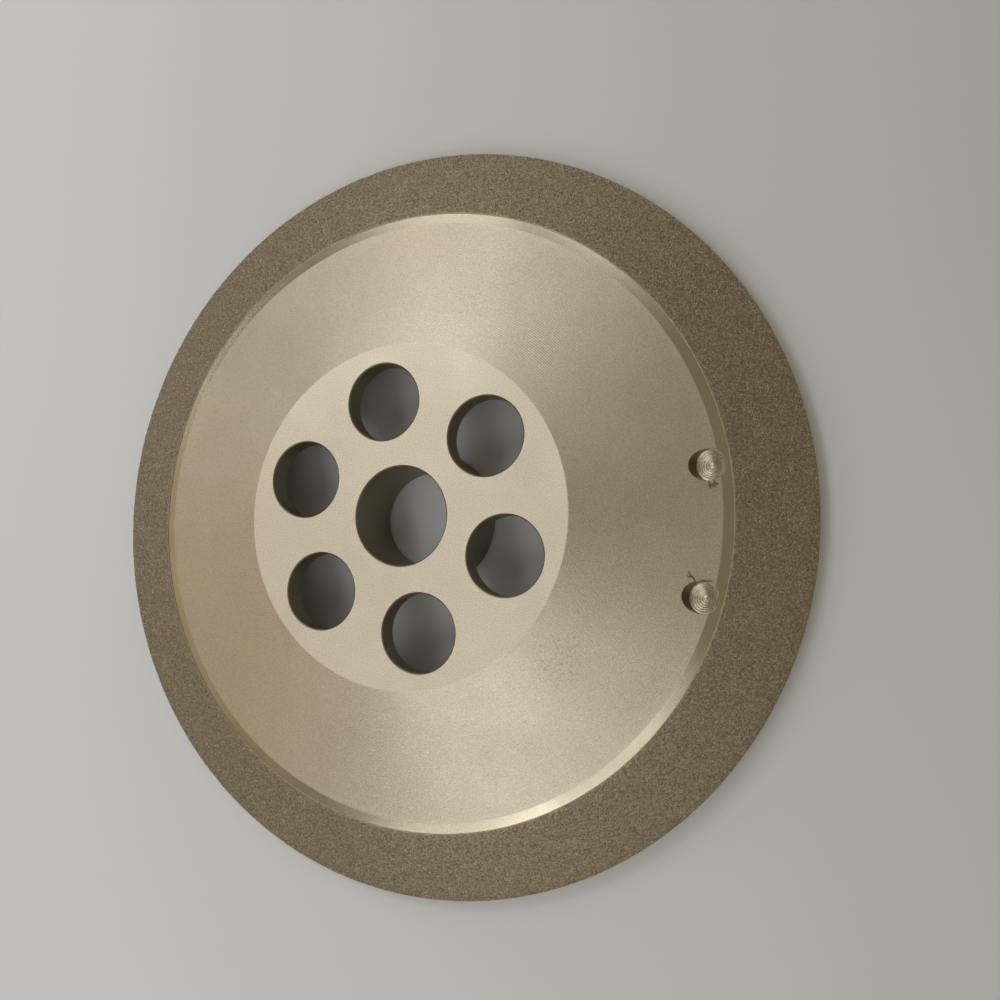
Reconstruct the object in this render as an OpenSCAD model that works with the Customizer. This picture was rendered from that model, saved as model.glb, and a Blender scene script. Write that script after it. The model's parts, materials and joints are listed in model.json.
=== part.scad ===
// Dish-shaped diamond grinding wheel: a turned metal core with grit plated on its outer band.
// The axis of rotation is +Z and the working side faces up.
// The origin is on the axis, in the plane of the rear boss face and the rear rim land.
// All lengths are in millimetres.

/* [Overall] */
// Outer diameter over the grit
wheel_d = 200; // [196:0.5:206]
// Height of the hub face above the resting plane
total_h = 20; // [19:0.5:24]

/* [Hub] */
// Diameter of the flat hub face
hub_face_d = 88.4; // [87:0.1:92]
// Thickness of the hub plate
plate_t = 6; // [5.5:0.5:7]
// Bore diameter
bore_d = 25.4; // [20:0.1:32]
// Edge break at the front of the bore
bore_front_chamfer = 0.3; // [0.1:0.1:1]
// Lead-in chamfer at the rear of the bore
bore_rear_chamfer = 1; // [0.2:0.1:1]
// Diameter of the rear boss
boss_d = 37; // [36:0.5:38]
// Chamfer on the rear edge of the boss
boss_chamfer = 1; // [0.2:0.1:1]
// Fillet radius between the boss and the hub plate
boss_fillet_r = 1; // [0.5:0.1:1]

/* [Mounting holes] */
// Number of holes
hole_count = 6; // [3:1:8]
// Hole diameter
hole_d = 20; // [14:0.5:20]
// Diameter of the circle through the hole centres
hole_circle_d = 60; // [60:0.5:63]
// Edge break on both ends of each hole
hole_chamfer = 0.3; // [0.1:0.1:0.5]
// Angle of the first hole, counted from +X
first_hole_deg = 30; // [0:5:60]

/* [Web and shoulder] */
// Thickness of the conical web, square to its surface
web_t = 6; // [5.5:0.1:6.5]
// Inner diameter of the bare shoulder
shoulder_in_d = 157.6; // [155:0.1:159]
// Outer diameter of the bare shoulder, where the coating starts
shoulder_out_d = 162.8; // [161:0.1:166]
// Height of the inner shoulder edge above the resting plane
shoulder_in_h = 10.5; // [10:0.1:11]
// Height of the outer shoulder edge above the resting plane
shoulder_out_h = 10.1; // [9:0.1:10.5]

/* [Rim and coating] */
// Height of the coated front corner above the resting plane
rim_edge_h = 4.7; // [4:0.1:6]
// Thickness of the nickel bond, along Z on the band and along the radius on the edge
bond_t = 0.25; // [0.1:0.05:0.5]
// Height of the grit above the bond, measured the same way
grit_t = 0.2; // [0.1:0.05:0.4]
// Width of the bevel where each layer ends
layer_bevel = 0.35; // [0.2:0.05:0.6]
// Height of the lower end of the coating above the resting plane
coat_low_h = 0.8; // [0.6:0.1:1.5]
// Chamfer on the rear edge of the rim
rim_chamfer = 0.5; // [0.2:0.1:0.6]

/* [Balance drillings] */
// Drill diameter
drill_d = 7.6; // [6:0.1:8]
// Point angle of the drill
drill_point_deg = 140; // [118:1:150]
// Lean of the drill towards the wheel axis
drill_lean_deg = 17; // [0:1:20]
// Depth of the drill tip below the web surface
drill_depth = 3; // [2:0.1:3.5]
// Radius of the drill tips from the wheel axis
drill_tip_r = 77.3; // [72:0.1:77.5]
// Angle of the first drilling
drill_angle_a = -1.7; // [-20:0.1:10]
// Angle of the second drilling
drill_angle_b = -25.2; // [-60:0.1:-25]

/* [Hidden] */
$fn = 180;
eps = 0.01;
tool_over = 2;
nickel_plate_color = [0.76, 0.72, 0.64];
bond_color = [0.55, 0.51, 0.44];
grit_color = [0.42, 0.38, 0.31];

wheel_r = wheel_d / 2;
hub_face_r = hub_face_d / 2;
bore_r = bore_d / 2;
boss_r = boss_d / 2;
hole_r = hole_d / 2;
shoulder_in_r = shoulder_in_d / 2;
shoulder_out_r = shoulder_out_d / 2;
plate_under_h = total_h - plate_t;

// The web falls evenly from the hub face to the shoulder, and its rear face runs parallel.
web_slope = (total_h - shoulder_in_h) / (shoulder_in_r - hub_face_r);
web_t_along_z = web_t / cos(atan(web_slope));
cavity_in_r = hub_face_r + (plate_t - web_t_along_z) / web_slope;
cavity_out_r = hub_face_r + (total_h - web_t_along_z) / web_slope;

// The band falls evenly from the shoulder to the rim.
coat_t = bond_t + grit_t;
core_r = wheel_r - coat_t;
bond_r = wheel_r - grit_t;
band_slope = (shoulder_out_h + coat_t - rim_edge_h) / (wheel_r - shoulder_out_r);

function web_h(r) = total_h - (r - hub_face_r) * web_slope;
function band_h(r, cover) = shoulder_out_h + cover - (r - shoulder_out_r) * band_slope;

wheel_core();
nickel_bond();
diamond_grit();

// The turned blank, with its holes and balance drillings cut.
module wheel_core() {
    color(nickel_plate_color)
    difference() {
        rotate_extrude() core_section();
        for (i = [0 : hole_count - 1]) {
            rotate([0, 0, first_hole_deg + i * 360 / hole_count])
            translate([hole_circle_d / 2, 0, 0])
            hole_cutter();
        }
        balance_drill(drill_angle_a);
        balance_drill(drill_angle_b);
    }
}

// The plated nickel that holds the grit: it covers the band and wraps the rim edge.
module nickel_bond() {
    color(bond_color)
    rotate_extrude()
    polygon([
        [shoulder_out_r, shoulder_out_h],
        [core_r, band_h(core_r, 0)],
        [core_r, coat_low_h],
        [bond_r, coat_low_h + layer_bevel],
        [bond_r, band_h(bond_r, bond_t)],
        [shoulder_out_r + layer_bevel, band_h(shoulder_out_r + layer_bevel, bond_t)]
    ]);
}

// The layer of diamond grains standing out of the bond.
module diamond_grit() {
    start_r = shoulder_out_r + layer_bevel;
    top_r = start_r + layer_bevel;
    start_h = coat_low_h + layer_bevel;
    color(grit_color)
    rotate_extrude()
    polygon([
        [start_r, band_h(start_r, bond_t)],
        [bond_r, band_h(bond_r, bond_t)],
        [bond_r, start_h],
        [wheel_r, start_h + layer_bevel],
        [wheel_r, rim_edge_h - layer_bevel],
        [wheel_r - layer_bevel, band_h(wheel_r - layer_bevel, coat_t)],
        [top_r, band_h(top_r, coat_t)]
    ]);
}

// Half section of the blank, with the radius along X and the height along Y.
module core_section() {
    polygon([
        [bore_r + bore_front_chamfer, total_h],
        [bore_r, total_h - bore_front_chamfer],
        [bore_r, bore_rear_chamfer],
        [bore_r + bore_rear_chamfer, 0],
        [boss_r - boss_chamfer, 0],
        [boss_r, boss_chamfer],
        [boss_r, plate_under_h],
        [cavity_in_r, plate_under_h],
        [cavity_out_r, 0],
        [core_r - rim_chamfer, 0],
        [core_r, rim_chamfer],
        [core_r, band_h(core_r, 0)],
        [shoulder_out_r, shoulder_out_h],
        [shoulder_in_r, shoulder_in_h],
        [hub_face_r, total_h]
    ]);
    difference() {
        translate([boss_r - eps, plate_under_h - boss_fillet_r])
        square([boss_fillet_r + eps, boss_fillet_r + eps]);
        translate([boss_r + boss_fillet_r, plate_under_h - boss_fillet_r])
        circle(r = boss_fillet_r);
    }
}

// One mounting hole through the hub plate, with an edge break at both ends.
module hole_cutter() {
    translate([0, 0, plate_under_h - tool_over])
    cylinder(r = hole_r, h = plate_t + 2 * tool_over);
    translate([0, 0, total_h - hole_chamfer])
    cylinder(r1 = hole_r, r2 = hole_r + tool_over, h = tool_over);
    translate([0, 0, plate_under_h + hole_chamfer - tool_over])
    cylinder(r1 = hole_r + tool_over, r2 = hole_r, h = tool_over);
}

// One blind balance drilling: the tip is placed first and the drill leans about it.
module balance_drill(angle_deg) {
    drill_r = drill_d / 2;
    point_h = drill_r / tan(drill_point_deg / 2);
    rotate([0, 0, angle_deg])
    translate([drill_tip_r, 0, web_h(drill_tip_r) - drill_depth])
    rotate([0, -drill_lean_deg, 0]) {
        cylinder(r1 = 0, r2 = drill_r, h = point_h);
        translate([0, 0, point_h - eps])
        cylinder(r = drill_r, h = total_h);
    }
}
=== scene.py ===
import json
import math

import bmesh
import bpy
import numpy as np
from mathutils import Matrix, Vector


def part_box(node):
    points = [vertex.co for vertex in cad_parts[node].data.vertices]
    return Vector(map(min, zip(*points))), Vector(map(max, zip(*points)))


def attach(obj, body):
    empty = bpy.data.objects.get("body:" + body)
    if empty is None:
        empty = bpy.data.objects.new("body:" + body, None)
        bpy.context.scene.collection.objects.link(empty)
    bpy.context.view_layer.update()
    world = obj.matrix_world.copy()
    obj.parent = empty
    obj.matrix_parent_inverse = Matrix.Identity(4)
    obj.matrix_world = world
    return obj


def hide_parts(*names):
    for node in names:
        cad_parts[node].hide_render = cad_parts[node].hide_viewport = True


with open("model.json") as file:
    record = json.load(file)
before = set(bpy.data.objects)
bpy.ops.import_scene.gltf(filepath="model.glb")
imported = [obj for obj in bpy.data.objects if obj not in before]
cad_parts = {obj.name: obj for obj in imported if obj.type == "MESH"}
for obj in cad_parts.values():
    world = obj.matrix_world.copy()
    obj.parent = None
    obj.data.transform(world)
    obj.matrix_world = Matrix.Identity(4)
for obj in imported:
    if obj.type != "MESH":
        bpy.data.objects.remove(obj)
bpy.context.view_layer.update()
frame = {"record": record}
MM = 0.001

# ---------------------------------------------------------------- sizes, in millimetres
core_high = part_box("wheel_core")[1]
grit_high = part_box("diamond_grit")[1]
mounts = {m["name"]: m for m in frame["record"]["mounts"]}

WHEEL_R = grit_high.x / MM
TOTAL_H = core_high.z / MM
HUB_R = 44.2
PLATE_T = 6.0
BORE_R = mounts["bore"]["dims"]["r_mm"]
BORE_FRONT_CHAMFER = 0.3
BORE_REAR_CHAMFER = 1.0
BOSS_R = 18.5
BOSS_CHAMFER = 1.0
BOSS_FILLET = 1.0
HOLE_R = mounts["hole_circle"]["dims"]["hole_r_mm"]
HOLE_CIRCLE_R = mounts["hole_circle"]["dims"]["pcd_mm"] / 2
HOLE_COUNT = mounts["hole_circle"]["dims"]["count"]
HOLE_CHAMFER = 0.3
FIRST_HOLE_DEG = 30.0
WEB_T = 6.0
SHOULDER_IN = (78.8, 10.5)
SHOULDER_OUT = (81.4, 10.1)
RIM_EDGE_H = 4.7
BOND_T = 0.25
GRIT_T = 0.2
COAT_T = BOND_T + GRIT_T
BEVEL = 0.35
COAT_LOW = 0.8
RIM_CHAMFER = 0.5
DRILL_R = 3.8
DRILL_POINT_DEG = 140.0
DRILL_LEAN_DEG = 17.0
DRILL_DEPTH = 3.0
DRILL_TIP_R = 77.3
DRILL_ANGLES = (-1.7, -25.2)
DRILL_SEEDS = (11, 12)

WEB_SLOPE = (TOTAL_H - SHOULDER_IN[1]) / (SHOULDER_IN[0] - HUB_R)
WEB_DROP = WEB_T / math.cos(math.atan(WEB_SLOPE))
CORE_R = WHEEL_R - COAT_T
BOND_R = WHEEL_R - GRIT_T
BAND_SLOPE = (SHOULDER_OUT[1] + COAT_T - RIM_EDGE_H) / (WHEEL_R - SHOULDER_OUT[0])
PLATE_UNDER = TOTAL_H - PLATE_T
SHOULDER_SLOPE = (SHOULDER_IN[1] - SHOULDER_OUT[1]) / (SHOULDER_OUT[0] - SHOULDER_IN[0])
EDGE_LINE = 0.13  # half the width of the broken edge between web and shoulder
HUB_EDGE_BREAK = 0.12
# Rings across the web, which keep its shading even beside the drillings.
WEB_RINGS = (76.0, 73.0, 70.0, 66.0, 62.0, 57.0, 52.0, 47.0)
FILLET_STEP_DEG = 5
TOOL_OVER = 2.0  # how far a cutter runs past the surface it opens

RING_SEGMENTS = 720
HOLE_SEGMENTS = 240
DRILL_SEGMENTS = 144

# An edge is drawn sharp where its faces meet at more than this.
CORE_SHARP_DEG = 6.5
BURR_SHARP_DEG = 50
BOND_SHARP_DEG = 40


def web_h(r):
    return TOTAL_H - (r - HUB_R) * WEB_SLOPE


def band_h(r, cover=0.0):
    return SHOULDER_OUT[1] + cover - (r - SHOULDER_OUT[0]) * BAND_SLOPE


# ---------------------------------------------------------------- camera
# The camera's place, and its own right, up and back directions.
CAM_PLACE_MM = (100.44, -33.46, 227.61)
CAM_RIGHT = Vector((0.919047, -0.157952, -0.361115))
CAM_UP = Vector((0.191242, 0.979819, 0.058141))
CAM_BACK = Vector((0.344644, -0.122494, 0.930707))
FOCAL_OVER_WIDTH = 0.9136
CAM_SHIFT = (0.0106, 0.0217)
SENSOR_MM = 36.0

cam_data = bpy.data.cameras.new("camera")
cam = bpy.data.objects.new("camera", cam_data)
bpy.context.scene.collection.objects.link(cam)
bpy.context.scene.camera = cam
cam_data.sensor_width = SENSOR_MM
cam_data.lens = SENSOR_MM * FOCAL_OVER_WIDTH
cam_data.shift_x, cam_data.shift_y = CAM_SHIFT
cam_data.clip_start = 0.01
cam_data.clip_end = 20.0
pose = Matrix((CAM_RIGHT, CAM_UP, CAM_BACK)).transposed().to_4x4()
pose.translation = Vector(CAM_PLACE_MM) * MM
cam.matrix_world = pose


# ---------------------------------------------------------------- mesh helpers
def new_object(name, verts, faces):
    mesh = bpy.data.meshes.new(name)
    mesh.from_pydata([tuple(v) for v in verts], [], faces)
    mesh.update()
    obj = bpy.data.objects.new(name, mesh)
    bpy.context.scene.collection.objects.link(obj)
    return obj


def lathe(name, section, segments, wobble=None):
    """A closed ring from a closed section of (radius, height) points in mm."""
    section = np.asarray(section, float)
    count = len(section)
    angle = np.linspace(0, 2 * math.pi, segments, endpoint=False)
    r = np.repeat(section[None, :, 0], segments, 0)
    z = np.repeat(section[None, :, 1], segments, 0)
    if wobble is not None:
        r, z = wobble(angle, r, z)
    verts = np.stack([r * np.cos(angle)[:, None], r * np.sin(angle)[:, None], z], -1)
    verts = verts.reshape(-1, 3) * MM
    faces = []
    for s in range(segments):
        t = (s + 1) % segments
        for k in range(count):
            m = (k + 1) % count
            faces.append((s * count + k, t * count + k, t * count + m, s * count + m))
    return new_object(name, verts, faces)


def spun(name, section, segments):
    """A closed solid from an open section that starts and ends on the axis."""
    section = list(section)
    verts = [(0, 0, section[0][1] * MM)]
    inner = section[1:-1]
    for s in range(segments):
        a = 2 * math.pi * s / segments
        for r, z in inner:
            verts.append((r * math.cos(a) * MM, r * math.sin(a) * MM, z * MM))
    verts.append((0, 0, section[-1][1] * MM))
    last = len(verts) - 1
    n = len(inner)
    faces = []
    for s in range(segments):
        t = (s + 1) % segments
        a, b = 1 + s * n, 1 + t * n
        faces.append((0, b, a))
        for k in range(n - 1):
            faces.append((a + k, b + k, b + k + 1, a + k + 1))
        faces.append((last, a + n - 1, b + n - 1))
    return new_object(name, verts, faces)


def outward(obj):
    bm = bmesh.new()
    bm.from_mesh(obj.data)
    bmesh.ops.recalc_face_normals(bm, faces=bm.faces)
    bm.to_mesh(obj.data)
    bm.free()


def cut(obj, cutters):
    group = bpy.data.collections.new("cutters")
    bpy.context.scene.collection.children.link(group)
    for c in cutters:
        for old in list(c.users_collection):
            old.objects.unlink(c)
        group.objects.link(c)
    mod = obj.modifiers.new("cut", "BOOLEAN")
    mod.operation = "DIFFERENCE"
    mod.operand_type = "COLLECTION"
    mod.collection = group
    mod.solver = "MANIFOLD"
    dg = bpy.context.evaluated_depsgraph_get()
    result = bpy.data.meshes.new_from_object(obj.evaluated_get(dg), depsgraph=dg)
    obj.modifiers.clear()
    obj.data = result
    for c in cutters:
        bpy.data.objects.remove(c)
    bpy.data.collections.remove(group)


def smooth(obj, angle_deg):
    obj.data.shade_smooth()
    obj.data.set_sharp_from_angle(angle=math.radians(angle_deg))


# ---------------------------------------------------------------- the turned core
def core_section():
    fillet = [
        (
            BOSS_R + BOSS_FILLET - BOSS_FILLET * math.cos(math.radians(a)),
            PLATE_UNDER - BOSS_FILLET + BOSS_FILLET * math.sin(math.radians(a)),
        )
        for a in range(0, 91, FILLET_STEP_DEG)
    ]
    cavity_in = HUB_R + (PLATE_T - WEB_DROP) / WEB_SLOPE
    cavity_out = HUB_R + (TOTAL_H - WEB_DROP) / WEB_SLOPE
    points = [
        (BORE_R + BORE_FRONT_CHAMFER, TOTAL_H),
        (BORE_R, TOTAL_H - BORE_FRONT_CHAMFER),
        (BORE_R, BORE_REAR_CHAMFER),
        (BORE_R + BORE_REAR_CHAMFER, 0),
        (BOSS_R - BOSS_CHAMFER, 0),
        (BOSS_R, BOSS_CHAMFER),
    ]
    points += fillet
    points += [
        (cavity_in, PLATE_UNDER),
        (cavity_out, 0),
        (CORE_R - RIM_CHAMFER, 0),
        (CORE_R, RIM_CHAMFER),
        (CORE_R, band_h(CORE_R)),
        SHOULDER_OUT,
        (SHOULDER_IN[0] + EDGE_LINE, SHOULDER_IN[1] - EDGE_LINE * SHOULDER_SLOPE),
        (SHOULDER_IN[0] - EDGE_LINE, web_h(SHOULDER_IN[0] - EDGE_LINE)),
    ]
    points += [(r, web_h(r)) for r in WEB_RINGS]
    points += [
        (HUB_R + HUB_EDGE_BREAK, web_h(HUB_R + HUB_EDGE_BREAK)),
        (HUB_R - HUB_EDGE_BREAK, TOTAL_H),
    ]
    return points


def hole_cutter(angle_deg):
    wide_r = HOLE_R + HOLE_CHAMFER + TOOL_OVER
    section = [
        (0, TOTAL_H + TOOL_OVER),
        (wide_r, TOTAL_H + TOOL_OVER),
        (HOLE_R, TOTAL_H - HOLE_CHAMFER),
        (HOLE_R, PLATE_UNDER + HOLE_CHAMFER),
        (wide_r, PLATE_UNDER - TOOL_OVER),
        (0, PLATE_UNDER - TOOL_OVER),
    ]
    obj = spun("hole_cutter", section, HOLE_SEGMENTS)
    a = math.radians(angle_deg)
    place = Vector((HOLE_CIRCLE_R * math.cos(a), HOLE_CIRCLE_R * math.sin(a), 0)) * MM
    obj.data.transform(Matrix.Translation(place))
    outward(obj)
    return obj


def drill_place(angle_deg):
    """Where a drill stood: its tip on the axis of the drilling, Z along the drill's shank."""
    tip = Vector((DRILL_TIP_R, 0, web_h(DRILL_TIP_R) - DRILL_DEPTH)) * MM
    turn = Matrix.Rotation(math.radians(angle_deg), 4, "Z")
    lean = Matrix.Rotation(math.radians(-DRILL_LEAN_DEG), 4, "Y")
    return turn @ Matrix.Translation(tip) @ lean


RIDGE_PITCH = 0.55
RIDGE_DEPTH = 0.03
RIDGE_VARIATION = (0.75, 1.2)  # each ridge's depth is RIDGE_DEPTH times a number between these
WEAR_STEP = 0.0006
WEAR_KEPT = 0.9  # how much of the unevenness carries on from one step to the next
DRILL_PIT = ((0, -0.12), (0.16, -0.02))  # the small pit at the centre, as radius and height
DRILL_PIT_R = 0.32
CONE_STEPS = 100
DRILL_SHANK_H = 12.0


def drill_cutter(angle_deg, seed):
    """A leaning drill whose point leaves concentric ridges and a small pit at its centre."""
    rng = np.random.default_rng(seed)
    slope = 1 / math.tan(math.radians(DRILL_POINT_DEG / 2))
    depths = RIDGE_DEPTH * rng.uniform(*RIDGE_VARIATION, int(DRILL_R / RIDGE_PITCH) + 1)
    cone = []
    wear = 0.0
    for r in np.linspace(DRILL_PIT_R, DRILL_R, CONE_STEPS):
        wear = WEAR_KEPT * wear + rng.uniform(-WEAR_STEP, WEAR_STEP)
        ripple = depths[int(r / RIDGE_PITCH)] * math.sin(2 * math.pi * r / RIDGE_PITCH)
        cone.append((r, r * slope + ripple + wear))
    cone[-1] = (DRILL_R, DRILL_R * slope)
    section = [*DRILL_PIT, *cone, (DRILL_R, DRILL_SHANK_H), (0, DRILL_SHANK_H)]
    obj = spun("drill_cutter", section, DRILL_SEGMENTS)
    obj.data.transform(drill_place(angle_deg))
    outward(obj)
    return obj


core = lathe("core", core_section(), RING_SEGMENTS)
outward(core)
cutters = [hole_cutter(FIRST_HOLE_DEG + 360 * i / HOLE_COUNT) for i in range(HOLE_COUNT)]
cutters += [drill_cutter(a, seed) for a, seed in zip(DRILL_ANGLES, DRILL_SEEDS)]
cut(core, cutters)
smooth(core, CORE_SHARP_DEG)


# ---------------------------------------------------------------- burrs left beside the drillings
# Each burr: its drilling, its thickness, then its points as outward, sideways and lift, all in mm.
# Outward and sideways count from the drill tip, and lift from the surface of the web.
BURRS = (
    (0, 0.42, ((-1.4, -3.65, -0.05), (-1.15, -4.5, 0.3), (-1.35, -5.1, 0.45), (-1.1, -5.7, 0.1))),
    (0, 0.34, ((-1.15, -4.5, 0.2), (-0.75, -4.8, 0.45), (-0.55, -5.4, 0.1))),
    (0, 0.4, ((-0.3, -3.6, -0.05), (0.0, -4.4, 0.3), (-0.2, -5.0, 0.4), (0.05, -5.6, 0.08))),
    (0, 0.3, ((0.0, -4.4, 0.25), (0.45, -4.6, 0.4), (0.6, -5.1, 0.1))),
    (1, 0.42, ((-2.9, 3.0, 0.0), (-3.5, 3.9, 0.35), (-4.3, 4.3, 0.45), (-5.2, 5.3, 0.15))),
    (1, 0.38, ((-2.6, 3.2, 0.05), (-1.9, 4.0, 0.35), (-1.0, 3.9, 0.45), (0.0, 4.3, 0.12))),
    (1, 0.28, ((-4.2, 4.2, 0.3), (-4.8, 3.9, 0.4), (-5.3, 4.1, 0.08))),
    (1, 0.3, ((-0.6, 3.65, 0.0), (0.0, 4.3, 0.3), (0.7, 4.2, 0.08))),
)
BURR_SIDES = 6
BURR_STEPS = 4  # points on the path for each point in the list
BURR_END = 0.25  # thickness at the ends, in parts of the thickness half way
BURR_FLATNESS = 0.7  # height in parts of the width


def burr_bodies(burrs):
    """Thin curled slivers of metal, each a closed tapered body on the surface of the web."""
    verts = []
    faces = []
    for which, thick, points in burrs:
        a = math.radians(DRILL_ANGLES[which])
        out = np.array((math.cos(a), math.sin(a)))
        side = np.array((-math.sin(a), math.cos(a)))
        knots = np.asarray(points, float)
        t = np.linspace(0, len(knots) - 1, BURR_STEPS * len(knots))
        path = np.stack([np.interp(t, range(len(knots)), knots[:, k]) for k in range(3)], -1)
        path[1:-1] = (path[:-2] + 2 * path[1:-1] + path[2:]) / 4  # rounds the bends
        first = len(verts)
        for k, (u, v, lift) in enumerate(path):
            flat = out * (DRILL_TIP_R + u) + side * v
            along = path[min(k + 1, len(path) - 1)] - path[max(k - 1, 0)]
            across = np.array((-along[1], along[0])) / max(1e-9, np.hypot(along[0], along[1]))
            swell = math.sin(math.pi * (k + 0.6) / (len(path) + 0.2))  # near 0 at both ends
            taper = thick / 2 * (BURR_END + (1 - BURR_END) * swell)
            for m in range(BURR_SIDES):
                b = 2 * math.pi * m / BURR_SIDES
                shift = across * taper * math.cos(b)
                spot = flat + out * shift[0] + side * shift[1]
                height = web_h(np.hypot(*spot)) + lift + BURR_FLATNESS * taper * math.sin(b)
                verts.append((spot[0] * MM, spot[1] * MM, height * MM))
        for k in range(len(path) - 1):
            row = first + k * BURR_SIDES
            for m in range(BURR_SIDES):
                p, q = row + m, row + (m + 1) % BURR_SIDES
                faces.append((p, q, q + BURR_SIDES, p + BURR_SIDES))
        last = first + (len(path) - 1) * BURR_SIDES
        faces.append(tuple(first + m for m in range(BURR_SIDES))[::-1])
        faces.append(tuple(last + m for m in range(BURR_SIDES)))
    return new_object("drilling_burrs", verts, faces)


burrs = burr_bodies(BURRS)
outward(burrs)
smooth(burrs, BURR_SHARP_DEG)


# ---------------------------------------------------------------- the nickel bond
BOND_OVERLAP = 0.05  # the bond's hidden side reaches this far into the core, so no gap shows
BOND_FOOT = 0.06  # how far that side starts below the shoulder
BOND_LIP = (0.05, 0.14)  # the lip at the inner edge: how far out and how high it rises
BOND_TURN_R = 0.16  # how far out the lip turns over into the band
BOND_TURN_T = 0.9  # the thickness there, in parts of BOND_T
BAND_POINTS = 8
BAND_INSETS = (1.0, 0.25)  # how far from its borders the band's even points start and end
CORNER_IN = (0.07, 0.01)  # the rounded front corner of the rim: in and down to its first point
CORNER_DOWN = 0.12  # and down to its second point


def bond_section():
    """The bond's section: its lip, the band, the rounded rim edge, and back along the core."""
    start, start_h = SHOULDER_OUT
    corner_h = band_h(BOND_R, BOND_T)
    inner = [
        SHOULDER_OUT,
        (start + BOND_LIP[0], start_h + BOND_LIP[1]),
        (start + BOND_TURN_R, band_h(start + BOND_TURN_R, BOND_T * BOND_TURN_T)),
        (start + BEVEL, band_h(start + BEVEL, BOND_T)),
    ]
    radii = np.linspace(start + BAND_INSETS[0], BOND_R - BAND_INSETS[1], BAND_POINTS)
    across = [(r, band_h(r, BOND_T)) for r in radii]
    outer = [
        (BOND_R - CORNER_IN[0], corner_h - CORNER_IN[1]),
        (BOND_R, corner_h - CORNER_DOWN),
        (BOND_R, COAT_LOW + BEVEL),
        (CORE_R, COAT_LOW),
        (CORE_R - BOND_OVERLAP, COAT_LOW),
        (CORE_R - BOND_OVERLAP, band_h(CORE_R) - BOND_OVERLAP),
        (start, start_h - BOND_FOOT),
    ]
    return inner + across + outer


EDGE_WAVES = (7, 13, 23, 41, 67, 97, 151)  # waves on the whole circle
EDGE_WAVE_SIZES = (0.3, 1.0)
EDGE_WAVE_SEED = 5
EDGE_WAVE_H = 0.09
EDGE_WAVE_REACH = 1.2  # the waves die out this far from the plating's inner edge


def wavy_edge(angle, r, z):
    """The masked inner edge of the plating runs a little unevenly."""
    rng = np.random.default_rng(EDGE_WAVE_SEED)
    shift = np.zeros_like(angle)
    for waves in EDGE_WAVES:
        size = rng.uniform(*EDGE_WAVE_SIZES) / math.sqrt(waves)
        shift += size * np.sin(waves * angle + rng.uniform(0, 2 * math.pi))
    shift *= EDGE_WAVE_H
    near = np.clip((SHOULDER_OUT[0] + EDGE_WAVE_REACH - r) / EDGE_WAVE_REACH, 0, 1)
    return r + near * shift[:, None], z - near * shift[:, None] * BAND_SLOPE


bond = lathe("bond", bond_section(), RING_SEGMENTS, wavy_edge)
outward(bond)
smooth(bond, BOND_SHARP_DEG)


# ---------------------------------------------------------------- the diamond grains
# Each grain is an octahedron, made uneven.
OCTA = np.array([(1, 0, 0), (-1, 0, 0), (0, 1, 0), (0, -1, 0), (0, 0, 1), (0, 0, -1)], float)
OCTA_FACES = np.array(
    [(0, 2, 4), (2, 1, 4), (1, 3, 4), (3, 0, 4), (2, 0, 5), (1, 2, 5), (3, 1, 5), (0, 3, 5)]
)
GRAIN_PITCH = 0.46
EDGE_ROW_PITCH = 0.94 * GRAIN_PITCH
GRAIN_SIZE = 0.225  # from the middle to a corner
GRAIN_SIZE_SPREAD = 0.03
GRAIN_SIZE_LIMITS = (0.16, 0.3)
GRAIN_STRETCH = (0.78, 1.15)  # along each of its three axes
GRAIN_JITTER = 0.045  # how far each corner moves off the even shape
GRAIN_STAND = (0.45, 0.97)  # how far a grain stands out of the bond, in parts of GRIT_T
SCATTER_ALONG = 0.3  # along a row, in parts of the pitch
SCATTER_ACROSS = 0.22  # across a row, on the band
EDGE_SCATTER = 0.2  # across a row, on the rim edge
# How far from each border of the coating the grains stay.
BAND_MARGIN_IN = 0.42
BAND_MARGIN_OUT = 0.12
EDGE_MARGIN_LOW = 0.25
EDGE_MARGIN_TOP = 0.28


def random_turns(rng, count):
    """Rotation matrices from random unit quaternions."""
    q = rng.normal(size=(count, 4))
    q /= np.linalg.norm(q, axis=1)[:, None]
    w, x, y, z = q.T
    return np.stack(
        [
            np.stack([1 - 2 * (y * y + z * z), 2 * (x * y - z * w), 2 * (x * z + y * w)], -1),
            np.stack([2 * (x * y + z * w), 1 - 2 * (x * x + z * z), 2 * (y * z - x * w)], -1),
            np.stack([2 * (x * z - y * w), 2 * (y * z + x * w), 1 - 2 * (x * x + y * y)], -1),
        ],
        1,
    )


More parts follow.
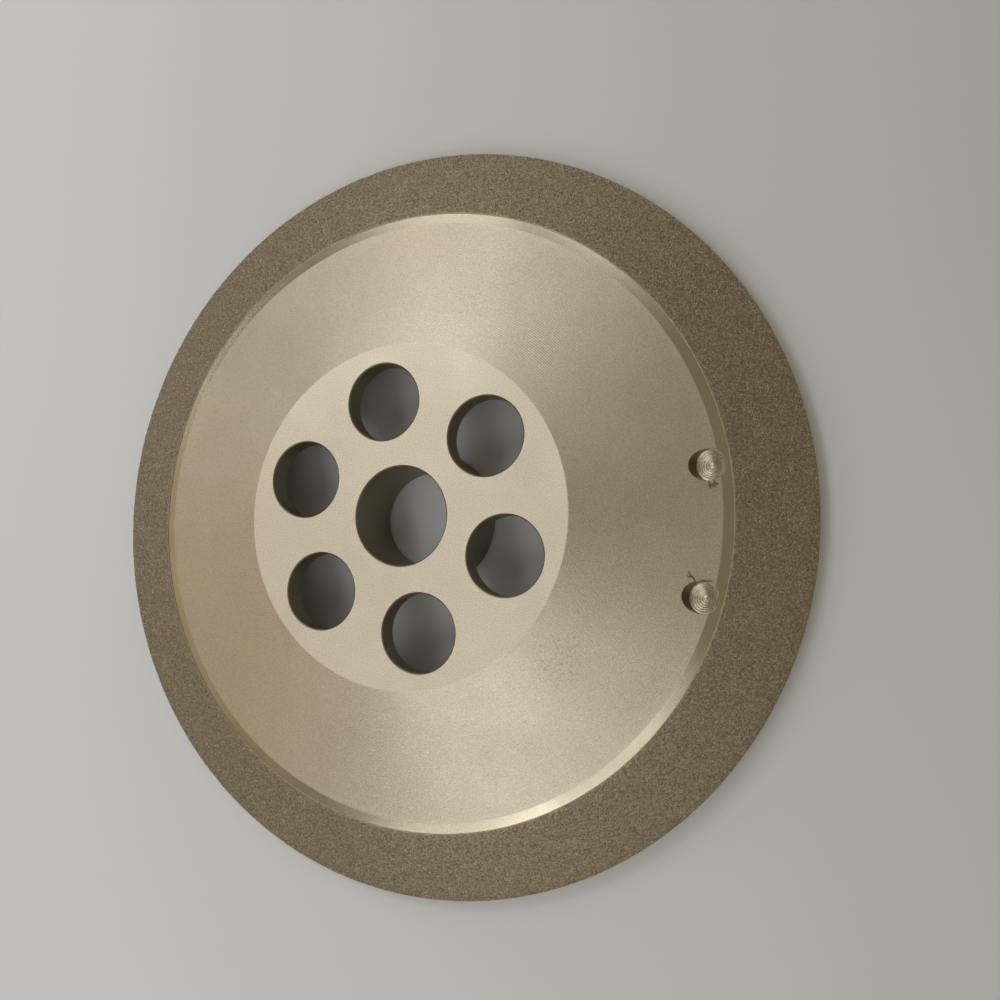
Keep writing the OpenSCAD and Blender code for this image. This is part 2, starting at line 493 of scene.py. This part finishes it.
def grains(name, feet, normals, seed):
    """One mesh of closed grains, from points on the bond in mm and the normals there."""
    rng = np.random.default_rng(seed)
    count = len(feet)
    size = rng.normal(GRAIN_SIZE, GRAIN_SIZE_SPREAD, count).clip(*GRAIN_SIZE_LIMITS)
    stretch = rng.uniform(*GRAIN_STRETCH, (count, 1, 3))
    shape = OCTA[None] * stretch * size[:, None, None]
    shape = shape + rng.uniform(-GRAIN_JITTER, GRAIN_JITTER, (count, len(OCTA), 3))
    shape = np.einsum("nij,nkj->nki", random_turns(rng, count), shape)
    tops = np.einsum("nkj,nj->nk", shape, normals).max(1)
    stand = rng.uniform(*GRAIN_STAND, count) * GRIT_T
    centre = feet + normals * (stand - tops)[:, None]
    verts = (centre[:, None] + shape).reshape(-1, 3) * MM
    faces = (OCTA_FACES[None] + len(OCTA) * np.arange(count)[:, None, None]).reshape(-1, 3)
    mesh = bpy.data.meshes.new(name)
    mesh.vertices.add(len(verts))
    mesh.vertices.foreach_set("co", verts.astype(np.float32).ravel())
    mesh.loops.add(faces.size)
    mesh.loops.foreach_set("vertex_index", faces.astype(np.int32).ravel())
    mesh.polygons.add(len(faces))
    mesh.polygons.foreach_set("loop_start", np.arange(0, faces.size, 3, dtype=np.int32))
    tone = mesh.attributes.new("tone", "FLOAT", "POINT")
    tones = np.repeat(rng.uniform(0, 1, count), len(OCTA))
    tone.data.foreach_set("value", tones.astype(np.float32))
    mesh.update(calc_edges=True)
    mesh.validate()
    obj = bpy.data.objects.new(name, mesh)
    bpy.context.scene.collection.objects.link(obj)
    return obj


def spread_round(rng, count):
    """Angles for a row of grains: even, then shifted a little, the whole row turned at random."""
    places = np.arange(count) + rng.uniform(-SCATTER_ALONG, SCATTER_ALONG, count)
    return (places + rng.uniform(0, 1)) * 2 * math.pi / count


def band_feet(r_from, r_to, seed):
    """Foot points and normals of the grains on the band between two radii."""
    rng = np.random.default_rng(seed)
    fall = math.atan(BAND_SLOPE)
    level, upward = math.sin(fall), math.cos(fall)
    feet = []
    normals = []
    for r in np.arange(r_from, r_to, GRAIN_PITCH * upward):
        count = int(2 * math.pi * r / GRAIN_PITCH)
        a = spread_round(rng, count)
        rr = r + rng.uniform(-SCATTER_ACROSS, SCATTER_ACROSS, count)
        rr = rr.clip(SHOULDER_OUT[0] + BAND_MARGIN_IN, BOND_R - BAND_MARGIN_OUT)
        feet.append(np.stack([rr * np.cos(a), rr * np.sin(a), band_h(rr, BOND_T)], -1))
        normals.append(np.stack([np.cos(a) * level, np.sin(a) * level, np.full(count, upward)], -1))
    return np.concatenate(feet), np.concatenate(normals)


def edge_feet(seed):
    """Foot points and normals of the grains on the rim edge."""
    rng = np.random.default_rng(seed)
    feet = []
    normals = []
    low = COAT_LOW + BEVEL + EDGE_MARGIN_LOW
    high = band_h(BOND_R, BOND_T) - EDGE_MARGIN_TOP
    for z in np.arange(low, high, EDGE_ROW_PITCH):
        count = int(2 * math.pi * BOND_R / GRAIN_PITCH)
        a = spread_round(rng, count)
        zz = (z + rng.uniform(-EDGE_SCATTER, EDGE_SCATTER, count)).clip(low, high)
        feet.append(np.stack([BOND_R * np.cos(a), BOND_R * np.sin(a), zz], -1))
        normals.append(np.stack([np.cos(a), np.sin(a), np.zeros(count)], -1))
    return np.concatenate(feet), np.concatenate(normals)


# The band is made in three rings, so that no piece grows too heavy.
BAND_FROM = SHOULDER_OUT[0] + 0.55
BAND_SPLITS = (88.0, 94.3)
BAND_TO = BOND_R - 0.1
grit_inner = grains("grit_inner", *band_feet(BAND_FROM, BAND_SPLITS[0], seed=21), seed=31)
grit_middle = grains("grit_middle", *band_feet(*BAND_SPLITS, seed=22), seed=32)
grit_outer = grains("grit_outer", *band_feet(BAND_SPLITS[1], BAND_TO, seed=23), seed=33)
grit_edge = grains("grit_edge", *edge_feet(seed=24), seed=34)
grit_pieces = (grit_inner, grit_middle, grit_outer, grit_edge)


# ---------------------------------------------------------------- materials
class Nodes:
    """Short calls for building one material's node tree."""

    def __init__(self, name):
        self.mat = bpy.data.materials.new(name)
        self.mat.use_nodes = True
        self.tree = self.mat.node_tree
        self.bsdf = self.tree.nodes["Principled BSDF"]

    def add(self, kind, **props):
        node = self.tree.nodes.new(kind)
        for key, value in props.items():
            setattr(node, key, value)
        return node

    def link(self, a, b):
        self.tree.links.new(a, b)

    def math(self, op, a, b=None):
        node = self.add("ShaderNodeMath", operation=op)
        for socket, value in zip(node.inputs, (a, b)):
            if value is None:
                continue
            if isinstance(value, (int, float)):
                socket.default_value = value
            else:
                self.link(value, socket)
        return node.outputs[0]

    def place(self):
        if not hasattr(self, "_place"):
            self._place = self.add("ShaderNodeTexCoord").outputs["Object"]
        return self._place

    def radius(self):
        if not hasattr(self, "_radius"):
            split = self.add("ShaderNodeSeparateXYZ")
            self.link(self.place(), split.inputs[0])
            x, y = split.outputs[0], split.outputs[1]
            squares = self.math("ADD", self.math("MULTIPLY", x, x), self.math("MULTIPLY", y, y))
            self._radius = self.math("SQRT", squares)
        return self._radius

    def noise(self, scale, detail=2.0, rough=0.5):
        node = self.add("ShaderNodeTexNoise")
        node.inputs["Scale"].default_value = scale
        node.inputs["Detail"].default_value = detail
        node.inputs["Roughness"].default_value = rough
        self.link(self.place(), node.inputs["Vector"])
        return node.outputs["Fac"]

    def ring_noise(self, scale, detail=2.0):
        """Noise that changes only with the distance from the wheel axis."""
        node = self.add("ShaderNodeTexNoise", noise_dimensions="1D")
        node.inputs["Scale"].default_value = scale
        node.inputs["Detail"].default_value = detail
        self.link(self.radius(), node.inputs["W"])
        return node.outputs["Fac"]

    def near(self, angle_deg, r, spread):
        """1 within a fifth of spread from one point of the web, falling to 0 at spread, in mm."""
        a = math.radians(angle_deg)
        away = self.add("ShaderNodeVectorMath", operation="DISTANCE")
        self.link(self.place(), away.inputs[0])
        centre = Vector((r * math.cos(a), r * math.sin(a), NEAR_H))
        away.inputs[1].default_value = centre * MM
        return self.span(away.outputs["Value"], 0.2 * spread * MM, spread * MM, 1.0, 0.0)

    def turning_rings(self):
        """Even feed marks of the lathe, strongest in one place, with uneven rings among them."""
        feed = self.math("SINE", self.math("MULTIPLY", self.radius(), 2 * math.pi / (TURNING_FEED * MM)))
        depth = self.math("MULTIPLY", self.near(*COARSE_TURNING), COARSE_EXTRA)
        depth = self.math("ADD", depth, FEED_DEPTH)
        return self.math("ADD", self.math("MULTIPLY", feed, depth), self.ring_noise(2800.0))

    def scuff(self, angle_deg, r, spread, depth):
        """A patch of fine flecks round one point of the web, from 0 to depth."""
        flecks = self.span(self.noise(1300.0, 3.0, 0.7), 0.52, 0.66, 0.0, 1.0)
        patch = self.math("MULTIPLY", self.near(angle_deg, r, spread), flecks)
        return self.math("MULTIPLY", patch, depth)

    def ramp(self, fac, stops):
        """A colour for each value; stops are pairs of a place from 0 to 1 and a colour."""
        node = self.add("ShaderNodeValToRGB")
        ramp = node.color_ramp
        while len(ramp.elements) < len(stops):
            ramp.elements.new(0.5)
        for element, (at, color) in zip(ramp.elements, stops):
            element.position = at
            element.color = (*color, 1.0)
        self.link(fac, node.inputs["Fac"])
        return node.outputs["Color"]

    def span(self, value, low, high, to_low, to_high):
        """The value moved from one range to another, and held at its ends."""
        node = self.add("ShaderNodeMapRange")
        node.inputs["From Min"].default_value = low
        node.inputs["From Max"].default_value = high
        node.inputs["To Min"].default_value = to_low
        node.inputs["To Max"].default_value = to_high
        self.link(value, node.inputs["Value"])
        return node.outputs["Result"]

    def bump(self, height, distance, under=None):
        """Bump up to distance in metres, on top of the normal under where one is given."""
        node = self.add("ShaderNodeBump")
        node.inputs["Strength"].default_value = 1.0
        node.inputs["Distance"].default_value = distance
        self.link(height, node.inputs["Height"])
        if under is not None:
            self.link(under, node.inputs["Normal"])
        return node.outputs["Normal"]


TURNING_FEED = 0.52
COARSE_TURNING = (38.0, 52.0, 22.0)  # where the feed marks show most: angle, radius and spread in mm
NEAR_H = TOTAL_H * 0.8  # about the height of the web at these marks and at the worn patches
FEED_DEPTH = 0.2  # their depth, in parts of the whole marks' height
COARSE_EXTRA = 0.9  # how much that grows in the coarse place
ACROSS_MARKS = 0.25  # a quarter turn: light spreads across the turning marks, not along them

# The plating's fine grain, with some slow cloudiness mixed into its colour.
GRAIN_SCALE = 3600.0
CLOUD_SCALE = 38.0
CLOUD_SHARE = 0.15
ROUGH_SPREAD = 0.04


def metal(name, base, rough, tint, speck_h, marks=0.0, aniso=0.0, scuffs=()):
    """Nickel-plated metal: a fine satin grain, and turning marks where marks is above zero.

    tint is how far the colour varies, and speck_h and marks are heights in metres.
    """
    n = Nodes(name)
    b = n.bsdf
    b.inputs["Metallic"].default_value = 1.0
    grain = n.noise(GRAIN_SCALE, 2.0, 0.7)
    cloud = n.noise(CLOUD_SCALE, 5.0, 0.6)
    fac = n.math("ADD", n.math("MULTIPLY", grain, 1 - CLOUD_SHARE), n.math("MULTIPLY", cloud, CLOUD_SHARE))
    for angle_deg, r, spread, depth in scuffs:
        fac = n.math("SUBTRACT", fac, n.scuff(angle_deg, r, spread, depth))
    dark = tuple(c * (1 - tint) for c in base)
    light = tuple(min(1, c * (1 + tint)) for c in base)
    n.link(n.ramp(fac, [(0.34, dark), (0.66, light)]), b.inputs["Base Color"])
    patchy = n.span(n.noise(60.0, 4.0), 0.3, 0.7, rough - ROUGH_SPREAD, rough + ROUGH_SPREAD)
    n.link(patchy, b.inputs["Roughness"])
    normal = n.bump(grain, speck_h)
    if marks > 0:
        b.inputs["Anisotropic"].default_value = aniso
        b.inputs["Anisotropic Rotation"].default_value = ACROSS_MARKS
        tangent = n.add("ShaderNodeTangent", direction_type="RADIAL", axis="Z")
        n.link(tangent.outputs[0], b.inputs["Tangent"])
        normal = n.bump(n.turning_rings(), marks, under=normal)
    n.link(normal, b.inputs["Normal"])
    return n.mat


# Worn patches on the web: angle, radius in mm, spread in mm, strength.
SCUFFS = (
    (-50.5, 54.0, 8.0, 0.45),
    (62.0, 57.0, 6.0, 0.25),
    (12.0, 66.0, 7.0, 0.12),
    (-80.0, 66.0, 7.0, 0.12),
)
web_mat = metal(
    "web_turned",
    (0.634, 0.551, 0.436),
    rough=0.37, tint=0.24, speck_h=0.00007, marks=0.000013, aniso=0.75, scuffs=SCUFFS,
)
hub_mat = metal("hub_face", (0.745, 0.665, 0.535), rough=0.52, tint=0.24, speck_h=0.00005)
shoulder_mat = metal(
    "shoulder_land",
    (0.485, 0.415, 0.308),
    rough=0.25, tint=0.1, speck_h=0.000003, marks=0.000004, aniso=0.65,
)
# Painted shade: a dark colour for the bore, the hole walls, their edge breaks and the side of the boss.
wall_shade_mat = metal("hole_wall", (0.3, 0.27, 0.2), rough=0.38, tint=0.1, speck_h=0.00001)
# Painted highlight: the broken edge between web and shoulder is lighter than the shoulder land beside it.
edge_highlight_mat = metal(
    "shoulder_edge",
    (0.6, 0.515, 0.395),
    rough=0.4, tint=0.1, speck_h=0.00001, marks=0.000004, aniso=0.5,
)
lip_mat = metal("bond_lip", (0.42, 0.35, 0.25), rough=0.45, tint=0.1, speck_h=0.00001)
back_mat = metal(
    "back_turned",
    (0.78, 0.7, 0.57),
    rough=0.42, tint=0.12, speck_h=0.00002, marks=0.000016, aniso=0.6,
)


# The bottom of a drilling: faint rings, and a painted highlight round the tip with painted shade in the
# pit at its centre.
# Each fade gives two radii in mm, between which the painted highlight or the pit's painted shade comes in.
RING_STRENGTH = 0.14
TIP_HIGHLIGHT_STRENGTH = 0.6
TIP_HIGHLIGHT_FADE = (0.75, 0.5)
PIT_SHADE_FADE = (0.12, 0.3)


def drilled_cone(name, angle_deg):
    """Bare metal at the bottom of a drilling, with fine marks round the drill's own axis, a painted
    highlight round its tip and painted shade in its pit.
    """
    place = drill_place(angle_deg)
    n = Nodes(name)
    b = n.bsdf
    b.inputs["Metallic"].default_value = 1.0
    b.inputs["Anisotropic"].default_value = 0.2
    b.inputs["Anisotropic Rotation"].default_value = ACROSS_MARKS
    arm = n.add("ShaderNodeVectorMath", operation="SUBTRACT")
    n.link(n.place(), arm.inputs[0])
    arm.inputs[1].default_value = place.translation
    round_axis = n.add("ShaderNodeVectorMath", operation="CROSS_PRODUCT")
    round_axis.inputs[0].default_value = place.to_3x3() @ Vector((0, 0, 1))
    n.link(arm.outputs[0], round_axis.inputs[1])
    n.link(round_axis.outputs[0], b.inputs["Tangent"])
    out = n.add("ShaderNodeVectorMath", operation="LENGTH")
    n.link(round_axis.outputs[0], out.inputs[0])
    r = out.outputs["Value"]
    rings = n.math("SINE", n.math("MULTIPLY", r, 2 * math.pi / (RIDGE_PITCH * MM)))
    fac = n.math("ADD", n.math("MULTIPLY", rings, RING_STRENGTH), n.noise(1500.0, 3.0))
    # Painted highlight: a bright ring round the tip, and painted shade darkening the pit at its centre.
    spot = n.span(r, TIP_HIGHLIGHT_FADE[0] * MM, TIP_HIGHLIGHT_FADE[1] * MM, 0.0, 1.0)
    pit_shade = n.span(r, PIT_SHADE_FADE[0] * MM, PIT_SHADE_FADE[1] * MM, -1.0, 1.0)
    tip = n.math("MULTIPLY", spot, pit_shade)
    fac = n.math("ADD", fac, n.math("MULTIPLY", tip, TIP_HIGHLIGHT_STRENGTH))
    stops = [(0.2, (0.36, 0.3, 0.22)), (0.75, (0.78, 0.69, 0.55)), (1.0, (0.95, 0.88, 0.76))]
    n.link(n.ramp(fac, stops), b.inputs["Base Color"])
    n.link(n.span(n.noise(900.0, 3.0), 0.3, 0.7, 0.33, 0.4), b.inputs["Roughness"])
    n.link(n.bump(n.noise(4000.0, 2.0), 0.000008), b.inputs["Normal"])
    return n.mat


def bond_nickel():
    """Matt plated nickel between the grains."""
    n = Nodes("nickel_bond")
    b = n.bsdf
    b.inputs["Metallic"].default_value = 1.0
    stops = [(0.3, (0.21, 0.17, 0.115)), (0.7, (0.45, 0.37, 0.26))]
    n.link(n.ramp(n.noise(1500.0, 3.0), stops), b.inputs["Base Color"])
    n.link(n.span(n.noise(1200.0, 2.0), 0.3, 0.7, 0.48, 0.62), b.inputs["Roughness"])
    n.link(n.bump(n.noise(2200.0, 3.0), 0.00008), b.inputs["Normal"])
    return n.mat


def diamond_grain():
    """Dull grains with small bright facets, each grain with a tone of its own."""
    n = Nodes("diamond_grain")
    b = n.bsdf
    tone = n.add("ShaderNodeAttribute", attribute_name="tone").outputs["Fac"]
    stops = [
        (0.0, (0.15, 0.12, 0.078)),
        (0.5, (0.34, 0.28, 0.193)),
        (0.85, (0.5, 0.417, 0.298)),
        (1.0, (0.66, 0.56, 0.41)),
    ]
    n.link(n.ramp(tone, stops), b.inputs["Base Color"])
    b.inputs["Metallic"].default_value = 0.35
    b.inputs["IOR"].default_value = 2.0
    n.link(n.span(n.noise(4000.0, 2.0), 0.3, 0.7, 0.3, 0.46), b.inputs["Roughness"])
    n.link(n.bump(n.noise(9000.0, 2.0), 0.00001), b.inputs["Normal"])
    return n.mat


cone_mats = [drilled_cone(f"drilled_cone_{i + 1}", deg) for i, deg in enumerate(DRILL_ANGLES)]
# Painted shade: the side walls of the drillings are coloured nearly black.
drill_wall_shade_mat = metal("drilled_wall", (0.17, 0.13, 0.085), rough=0.34, tint=0.1, speck_h=0.00001)
# Painted shade: the burrs get a dark colour, standing for the shade on and beside them.
burr_shade_mat = metal("burr", (0.3, 0.25, 0.18), rough=0.36, tint=0.12, speck_h=0.00001)
bond_mat = bond_nickel()
grain_mat = diamond_grain()


# ---------------------------------------------------------------- finishes of the core, face by face, with painted shade on the walls and a painted highlight on the shoulder edge
NEAR_SIDE = 0.05  # a face this close to the drill's side belongs to it
DRILL_SPAN = (-0.1, 8.0)  # heights along the drill's axis between which its faces lie
CONE_TOP = 2.0
BELOW_WEB = 0.1
# How far along the drill's axis a face looks: little on the side wall, much on the cone.
WALL_LOOK = 0.3
CONE_LOOK = 0.62


def drill_face(c, normal):
    """The finish of a face inside one of the drillings, or None elsewhere; the side wall gets a near-black
    painted shade.
    """
    for i, deg in enumerate(DRILL_ANGLES):
        place = drill_place(deg)
        local = place.inverted() @ (c * MM) / MM
        look = abs((place.to_3x3().inverted() @ normal).z)
        if local.xy.length < DRILL_R + NEAR_SIDE and DRILL_SPAN[0] < local.z < DRILL_SPAN[1]:
            if look < WALL_LOOK and local.xy.length > DRILL_R - NEAR_SIDE:
                return "drilled_wall"
            if look > CONE_LOOK and local.z < CONE_TOP and c.z < web_h(c.xy.length) - BELOW_WEB:
                return f"drilled_cone_{i + 1}"
    return None


FACES_UP = 0.5  # the working side's normals rise more than this
STEEP = 0.9  # the walls' and chamfers' normals rise or fall less than this
# How near a face's middle has to lie to the hub face, the bore and the hub's border to belong to them.
HUB_SKIN = 0.05
BORE_SKIN = 0.02
HUB_BORDER = 1.0


def turned_face(r, z, up):
    """The finish of a face outside the drillings: its radius and height, and how its normal rises. Hole
    walls get painted shade, and the shoulder's edge a painted highlight.
    """
    if up > FACES_UP and z > TOTAL_H - HUB_SKIN:
        return "hub_face"
    # The hole walls' dark colour, which paints the shade in them, is on the bore, the edge breaks and the
    # side of the boss too.
    if r < BORE_R + BORE_SKIN or (r < HUB_R - HUB_BORDER and abs(up) < STEEP):
        return "hole_wall"
    # A lighter ring on the broken edge at the shoulder paints its highlight.
    if up > FACES_UP and abs(r - SHOULDER_IN[0]) < EDGE_LINE / 2:
        return "shoulder_edge"
    if up > FACES_UP and SHOULDER_IN[0] < r < SHOULDER_OUT[0]:
        return "shoulder_land"
    if up > FACES_UP and HUB_R - HUB_BORDER < r < SHOULDER_IN[0]:
        return "web_turned"
    return "back_turned"


def paint_core():
    mesh = core.data
    mesh.materials.clear()
    index = {}
    for m in (back_mat, web_mat, hub_mat, shoulder_mat, edge_highlight_mat, wall_shade_mat, drill_wall_shade_mat, *cone_mats):
        index[m.name] = len(mesh.materials)
        mesh.materials.append(m)
    for poly in mesh.polygons:
        c = poly.center / MM
        finish = drill_face(c, poly.normal) or turned_face(c.xy.length, c.z, poly.normal.z)
        poly.material_index = index[finish]


def soften_ridges():
    """The ridges on the drilled cones are round, so an edge between two cone faces is smooth."""
    mesh = core.data
    cones = [k for k, m in enumerate(mesh.materials) if m in cone_mats]
    faces_at = np.zeros(len(mesh.edges), int)
    for poly in mesh.polygons:
        if poly.material_index in cones:
            for k in poly.loop_indices:
                faces_at[mesh.loops[k].edge_index] += 1
    sharp = mesh.attributes["sharp_edge"].data
    for k in np.nonzero(faces_at == 2)[0]:
        sharp[int(k)].value = False


LIP_WIDTH = 0.2
LIP_RISE = 0.2  # the normals of the lip's faces rise more than this


def paint_bond():
    """The bond's material, with the lip's material on the lip."""
    bond.data.materials.append(bond_mat)
    bond.data.materials.append(lip_mat)
    for poly in bond.data.polygons:
        if poly.normal.z > LIP_RISE and poly.center.xy.length < (SHOULDER_OUT[0] + LIP_WIDTH) * MM:
            poly.material_index = 1


paint_core()
soften_ridges()
paint_bond()
for piece in grit_pieces:
    piece.data.materials.append(grain_mat)
burrs.data.materials.append(burr_shade_mat)

piece_slots = [(core, "plated_core"), (burrs, "plated_core"), (bond, "nickel_bond")]
piece_slots += [(piece, "diamond_grit") for piece in grit_pieces]
for piece, slot_name in piece_slots:
    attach(piece, "root")
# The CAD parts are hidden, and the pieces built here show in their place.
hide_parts("wheel_core")
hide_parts("nickel_bond")
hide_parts("diamond_grit")


# ---------------------------------------------------------------- floor and light
def floor_material():
    n = Nodes("floor")
    stops = [(0.3, (0.69, 0.69, 0.703)), (0.7, (0.715, 0.715, 0.728))]
    n.link(n.ramp(n.noise(3.0, 2.0), stops), n.bsdf.inputs["Base Color"])
    n.bsdf.inputs["Roughness"].default_value = 0.6
    return n.mat


FLOOR_REACH = 4
FLOOR_Z = -0.00003
corners = [(x * FLOOR_REACH, y * FLOOR_REACH, FLOOR_Z) for x, y in ((-1, -1), (1, -1), (1, 1), (-1, 1))]
floor = new_object("floor", corners, [(0, 1, 2, 3)])
floor.data.materials.append(floor_material())


def area_light(name, place, facing, width, length, power, color):
    """A rectangular panel; its length lies level, and both its sides lie square to facing."""
    data = bpy.data.lights.new(name, "AREA")
    data.shape = "RECTANGLE"
    data.size = width
    data.size_y = length
    data.energy = power
    data.color = color
    obj = bpy.data.objects.new(name, data)
    bpy.context.scene.collection.objects.link(obj)
    back = -Vector(facing).normalized()
    level = Vector((0, 1, 0)) if abs(back.z) > 0.5 else Vector((0, 0, 1)).cross(back)
    turn = Matrix((level.cross(back), level, back)).transposed().to_4x4()
    turn.translation = Vector(place)
    obj.matrix_world = turn


# Six soft panels hang half a metre over the table, a little to the left of the wheel.
# Most lean to the left, so the table darkens towards the right.
PANEL_Z = 0.5
PANEL_COLOR = (0.905, 0.96, 1.015)
DOWN = (0, 0, -1)
LEANING = (-0.6, 0, -0.8)
PANELS = (
    # name, x, y, facing, size across X, size along Y, watts
    ("middle", -0.16, 0.0, LEANING, 0.16, 0.8, 0.69),
    ("upper_left", -0.52, 0.32, LEANING, 0.4, 0.16, 0.99),
    ("upper_right", -0.12, 0.32, DOWN, 0.4, 0.16, 0.42),
    ("lower", -0.1, -0.3, DOWN, 0.6, 0.16, 0.5),
    ("far", -0.16, 0.64, LEANING, 0.48, 0.48, 0.8),
    ("near", -0.3, -0.62, LEANING, 0.48, 0.32, 1.0),
)
for name, x, y, facing, across, along, watts in PANELS:
    area_light(f"panel_{name}", (x, y, PANEL_Z), facing, across, along, watts, PANEL_COLOR)

# Two pale walls and a dim warm room close the rest.
ROOM_COLOR = (1.0, 0.885, 0.68)
ROOM_LIGHT = 0.295
WALL_H = 0.4
WALL_LENGTH = 1.6
WALLS = (
    # name, place, facing, watts
    ("wall_far", (0, 1.2, 0.22), (0, -1, 0), 1.4),
    ("wall_left", (-1.2, 0, 0.55), (1, 0, 0), 1.1),
)
for name, place, facing, watts in WALLS:
    area_light(name, place, facing, WALL_H, WALL_LENGTH, watts, ROOM_COLOR)
world = bpy.data.worlds.new("world")
bpy.context.scene.world = world
world.use_nodes = True
room = world.node_tree.nodes["Background"]
room.inputs["Color"].default_value = (*ROOM_COLOR, 1)
room.inputs["Strength"].default_value = ROOM_LIGHT
bpy.context.scene.view_settings.view_transform = "Standard"
